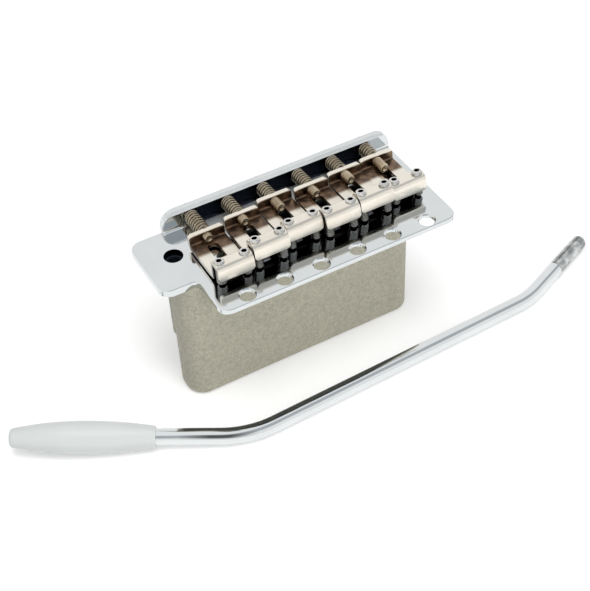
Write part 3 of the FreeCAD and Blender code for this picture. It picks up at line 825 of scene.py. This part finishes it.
def makeArm():
    tip, first, second, end = armRoute()
    inward = (first - tip).normalized()
    outward = (end - second).normalized()
    start = tip + inward * (tipShape["length"] - tipShape["boreDepth"]) * mm
    threadStart = end - outward * armShape["threadLength"] * mm
    clearSelection()
    bpy.ops.mesh.primitive_circle_add(vertices=armShape["sides"], radius=armShape["radius"] * mm)
    rod = bpy.context.object
    placed(rod, aimed(start, inward))
    bpy.ops.object.mode_set(mode="EDIT")
    bpy.ops.mesh.select_all(action="SELECT")
    here = start
    bends = (
        (tip, first, second, armShape["tipBendRadius"] * mm),
        (first, second, end, armShape["threadBendRadius"] * mm))
    for bend in bends:
        into, centre, axis, angle = bendOf(*bend)
        bpy.ops.mesh.extrude_region_move(TRANSFORM_OT_translate={"value": into - here})
        bpy.ops.mesh.spin(                            # a windowless spin turns backwards
            steps=armShape["bendSteps"], angle=-angle, center=centre, axis=axis)
        here = centre + Matrix.Rotation(angle, 3, axis) @ (into - centre)
    bpy.ops.mesh.extrude_region_move(TRANSFORM_OT_translate={"value": threadStart - here})
    objectMode()
    tidyMesh(rod)
    lap = armShape["threadLap"] * mm
    thread = threadedRod("armThread", armThread, armShape["threadLength"] * mm + lap)
    placed(thread, aimed(threadStart - outward * lap, outward))
    joined(rod, thread, "UNION")
    smoothed(rod, armShape["smoothAngle"])

    def shadeAndStain(finish, tone):                          # bare steel from the thread's first turn, painted reflection bands on the chrome before it
        along = finish.inFrame(aimed(threadStart, outward))[2]
        patches = finish.ramp(finish.noise(armThread["patches"], detail=3.0), *armThread["patchSpan"])
        steel = finish.blend(patches, armThread["grime"], armThread["steel"])
        threaded = finish.ramp(along, *armThread["startSpan"])
        return finish.blend(threaded, bandedChrome(finish, tone), steel)

    finish = polishedMetal("armChrome", chromeLook, shadeAndStain)
    handOver(rod, "armRod", "tremolo_arm", "chrome", "arm", finish)


def makeTip():
    shape = tipShape
    tip, first = armRoute()[:2]
    belly = shape["length"] / 2
    outline = [(0, 0, 0), (shape["noseFlat"] * mm, 0, 0)]
    for step in range(1, shape["noseSteps"] + 1):
        angle = math.pi / 2 * step / shape["noseSteps"]
        across = shape["noseFlat"] + (shape["noseRadius"] - shape["noseFlat"]) * math.sin(angle)
        outline.append((across * mm, 0, shape["noseDepth"] * (1 - math.cos(angle)) * mm))
    ends = ((shape["noseRadius"], shape["noseDepth"]), (shape["neckRadius"], shape["length"]))
    for step in range(1, shape["steps"] + 1):
        height = ends[0][1] + (ends[1][1] - ends[0][1]) * step / shape["steps"]
        ease = abs(height - belly) / (belly - ends[0][1] if height < belly else belly)
        edge = ends[0][0] if height < belly else ends[1][0]
        radius = shape["bellyRadius"] - (shape["bellyRadius"] - edge) * ease ** 2
        outline.append((radius * mm, 0, height * mm))
    bore = armShape["radius"] + shape["boreGap"]
    deep = shape["length"] - shape["boreDepth"]
    outline += [(bore * mm, 0, shape["length"] * mm), (bore * mm, 0, deep * mm), (0, 0, deep * mm)]
    cap = lathed("armCap", outline, shape["sides"])
    placed(cap, aimed(tip, first - tip))
    smoothed(cap, shape["smoothAngle"])
    handOver(cap, "armCap", "arm_tip", "tip_plastic", "arm")


makeArm()
makeTip()
print("arm and tip made")


# CAD nodes that stay: plate, block and the screws between them

plateShadeZones = {                                        # painted shade zones by their place, with soft edges
    "paintedShade": (0.012, 0.015, 0.024, 1), "halfWidth": 29.5, "sideSoft": 1.0, "skin": 0.3, "skinSoft": 0.1,
    "lipFront": 33.7, "foot": 0.9, "wallBack": 0.3, "wallSoft": 0.2, "wallTop": 4.85, "wallTopSoft": 0.15,
    "underFront": 8.8, "underRear": 14.0, "underSoft": 0.5, "underShare": 0.92, "channelFront": 25.5,
    "channelSoft": 0.3, "channelRough": 0.55, "edgeFall": 2.2, "armHole": (-38.4, 24.0),
    "armHoleRadius": 2.75, "armHoleSoft": 0.1, "boreTop": (-0.3, -0.5), "shadeDepth": (-20.0, -19.0),
}


def armHoleShade(finish, x, y):
    look = plateShadeZones
    across, along = x - look["armHole"][0], y - look["armHole"][1]
    away = finish.root(across * across + along * along)
    return finish.ramp(away, look["armHoleRadius"] + look["armHoleSoft"], look["armHoleRadius"])


def betweenEnds(finish, x):                           # short of the lip's rounded ends
    return finish.within(x, -plateShadeZones["halfWidth"], plateShadeZones["halfWidth"], plateShadeZones["sideSoft"])


def onTop(finish, z):
    return finish.within(z, -plateShadeZones["skin"], plateShadeZones["skin"], plateShadeZones["skinSoft"])


def platePaintedShade(finish, tone):                          # painted dark reflection on the channel wall, painted shade in the arm hole and on the floor under saddles
    look = plateShadeZones
    x, y, z = finish.inFrame(Matrix.Identity(4))
    foot = look["lipFront"] - look["foot"]
    wall = finish.within(y, foot, look["lipFront"] + look["wallBack"], look["wallSoft"])
    wall = wall * finish.within(z, -look["skin"], look["wallTop"], look["wallTopSoft"])
    wall = wall * betweenEnds(finish, x)
    bore = armHoleShade(finish, x, y) * finish.ramp(z, *look["boreTop"])
    under = finish.within(y, look["underFront"], look["underRear"], look["underSoft"]) * onTop(finish, z)
    under = under * betweenEnds(finish, x)
    return finish.blend(wall + bore + under * look["underShare"], tone, look["paintedShade"])


def channelDull(finish):                              # the channel floor shows no sharp image of its wall
    look = plateShadeZones
    x, y, z = finish.inFrame(Matrix.Identity(4))
    floor = finish.within(y, look["channelFront"], look["lipFront"] - look["foot"], look["channelSoft"])
    return floor * onTop(finish, z) * betweenEnds(finish, x) * look["channelRough"]


def lipEdge(finish):                                  # the lip's upper front edge shines as if rounded
    z = finish.inFrame(Matrix.Identity(4))[2]
    above = finish.node("ShaderNodeMath", {"operation": "MAXIMUM"}, {0: z - plateShadeZones["wallTop"], 1: 0.0})
    return above * -plateShadeZones["edgeFall"]


def blockPaintedShade(finish, tone):                          # painted shade: no light comes back out of the arm hole
    x, y, z = finish.inFrame(Matrix.Identity(4))
    deep = armHoleShade(finish, x, y) * finish.ramp(z, *plateShadeZones["shadeDepth"])
    return finish.blend(deep, tone, plateShadeZones["paintedShade"])


finishes["plate"] = polishedMetal("plateChrome", plateLook, platePaintedShade, channelDull, lipEdge)
finishes["cast"] = castMetal("sandCast", castLook, blockPaintedShade)
for node, slot, finish in (
        ("base_plate", "chrome", "plate"), ("tremolo_block", "cast", "cast"),
        ("block_screws", "screw_steel", "screw_steel")):
    nodes[node].data.materials.clear()
    nodes[node].data.materials.append(finishes[finish])
print("plate, block and block screws dressed")


# Stage: floor, grey flag for the metal to reflect, lamps, world and camera

studio = {                                            # metres, with near and far in millimetres
    "floorSize": 6.0, "floorColour": (0.86, 0.86, 0.86, 1), "floorRough": 0.9, "floorSpecular": 0.1,
    "nearLift": (0.26, 0.26, 0.26, 1), "farLift": (0.8, 0.8, 0.8, 1), "near": 240, "far": 900,
    "flagColour": (0.50, 0.53, 0.56, 1), "flagSide": 24.0, "flagLow": 39.0, "flagHigh": 74.0,
    "flagWidth": 2.4, "flagDistance": 0.9, "ambient": 0.44, "keyPower": 4.8, "keyPlace": (-0.1, -0.15, 0.9),
    "fillPower": 2.4, "fillPlace": (0.15, -0.75, 0.35), "lampSize": 0.6,
}


def lightPath(finish):                                # 1 for rays that show the background
    kinds = [finish.node("ShaderNodeLightPath", output=name) for name in (
        "Is Camera Ray", "Is Glossy Ray", "Is Transmission Ray")]
    return finish.clamped(kinds[0] + kinds[1] + kinds[2])


def makeFloor():
    clearSelection()
    bpy.ops.mesh.primitive_plane_add(size=studio["floorSize"], location=(0, 0, floorLevel))
    floor = bpy.context.object
    floor.name = "paleFloor"
    finish = newFinish("paleFloor")
    shown = lightPath(finish)
    x, y, z = finish.inFrame(Matrix.Identity(4))
    away = finish.ramp(finish.root(x * x + y * y), studio["near"], studio["far"])
    finish.surface({
        "Base Color": studio["floorColour"],
        "Roughness": studio["floorRough"],
        "Specular IOR Level": studio["floorSpecular"],
        "Emission Color": finish.blend(away, studio["nearLift"], studio["farLift"]),
        "Emission Strength": shown,
    })
    floor.data.materials.append(finish.owner)


def makeFlag():                                       # a grey screen above the camera's side
    clearSelection()
    bpy.ops.mesh.primitive_plane_add(size=1)
    flag = bpy.context.object
    flag.name = "greyFlag"
    middle = math.radians((studio["flagLow"] + studio["flagHigh"]) / 2)
    half = math.radians((studio["flagHigh"] - studio["flagLow"]) / 2)
    side = Matrix.Rotation(math.radians(studio["flagSide"]), 4, "Z")
    turn = side @ Matrix.Rotation(math.pi / 2 - middle, 4, "X")
    height = 2 * studio["flagDistance"] * math.tan(half)
    flag.data.transform(Matrix.Diagonal((studio["flagWidth"], height, 1, 1)))
    flag.data.transform(turn @ Matrix.Translation((0, 0, studio["flagDistance"])))
    finish = newFinish("greyFlag")
    finish.surface({
        "Base Color": (0, 0, 0, 1), "Roughness": 1.0, "Specular IOR Level": 0.0,
        "Emission Color": studio["flagColour"], "Emission Strength": 1.0})
    flag.data.materials.append(finish.owner)
    for ray in ("camera", "diffuse", "shadow"):
        setattr(flag, "visible_" + ray, False)


def makeLamp(name, place, power):
    clearSelection()
    bpy.ops.object.light_add(type="AREA", location=place)
    lamp = bpy.context.object
    lamp.name = name
    lamp.data.shape = "DISK"
    lamp.data.size = studio["lampSize"]
    lamp.data.energy = power
    lamp.visible_glossy = False                       # metal shows the white room instead
    lamp.rotation_euler = (-Vector(place)).to_track_quat("-Z", "Y").to_euler()


def makeWorld():
    world = bpy.data.worlds.new("studioWorld")
    bpy.context.scene.world = world
    finish = Finish(world)
    shown = lightPath(finish)
    background = finish.tree.nodes["Background"]
    finish.feed(background, {
        "Color": (1, 1, 1, 1), "Strength": shown * (1 - studio["ambient"]) + studio["ambient"]})


cameraView = {
    "place": (-128.09, -222.25, 236.37), "right": (0.87073, -0.49011, -0.04006),
    "up": (0.36794, 0.59528, 0.71431), "back": (-0.32625, -0.63672, 0.69867), "lens": 78.685,
    "sensor": 36.0, "clipStart": 0.01,
}


def makeCamera():
    clearSelection()
    bpy.ops.object.camera_add()
    camera = bpy.context.object
    camera.name = "photoCamera"
    camera.data.lens = cameraView["lens"]
    camera.data.sensor_width = cameraView["sensor"]
    camera.data.sensor_fit = "HORIZONTAL"
    camera.data.clip_start = cameraView["clipStart"]
    axes = Matrix([cameraView["right"], cameraView["up"], cameraView["back"]]).transposed()
    camera.matrix_world = Matrix.Translation(Vector(cameraView["place"]) * mm) @ axes.to_4x4()
    bpy.context.scene.camera = camera


makeFloor()
makeFlag()
makeLamp("keyLamp", studio["keyPlace"], studio["keyPower"])
makeLamp("fillLamp", studio["fillPlace"], studio["fillPower"])
makeWorld()
makeCamera()
bpy.context.scene.view_settings.view_transform = "Standard"
print("stage set")
